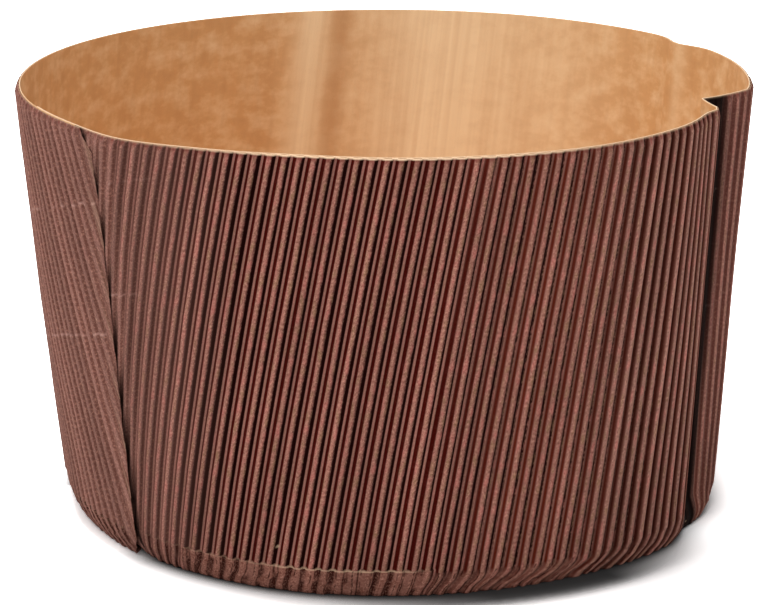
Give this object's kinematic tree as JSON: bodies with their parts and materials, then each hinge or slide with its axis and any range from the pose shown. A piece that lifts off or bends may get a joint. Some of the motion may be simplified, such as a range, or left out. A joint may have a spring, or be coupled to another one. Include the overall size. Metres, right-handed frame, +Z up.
{
  "type": "paper baking mould",
  "caption": "Tall round paper cake mould: corrugated wall with flutes outside and flat liner inside, lapped seam, folded groove, gathered hem turned under a base disc.",
  "frame": {"origin": "on the axis of the mould, in the plane of the floor that its hem rests on", "axes": "+Z up to the rim; -Y to the front, with the lap seam on the left of the front and the groove on its right"},
  "size_m": [0.154, 0.1535, 0.0906],
  "materials": {
    "fluted_brown_paper": "matt dyed kraft paper, corrugated",
    "kraft_liner": "smooth natural kraft paper",
    "kraft_card": "matt natural kraft card"
  },
  "bodies": {
    "root": {"fluted_outer_ply": "fluted_brown_paper", "inner_liner": "kraft_liner", "base_disc": "kraft_card"}
  },
  "joints": []
}
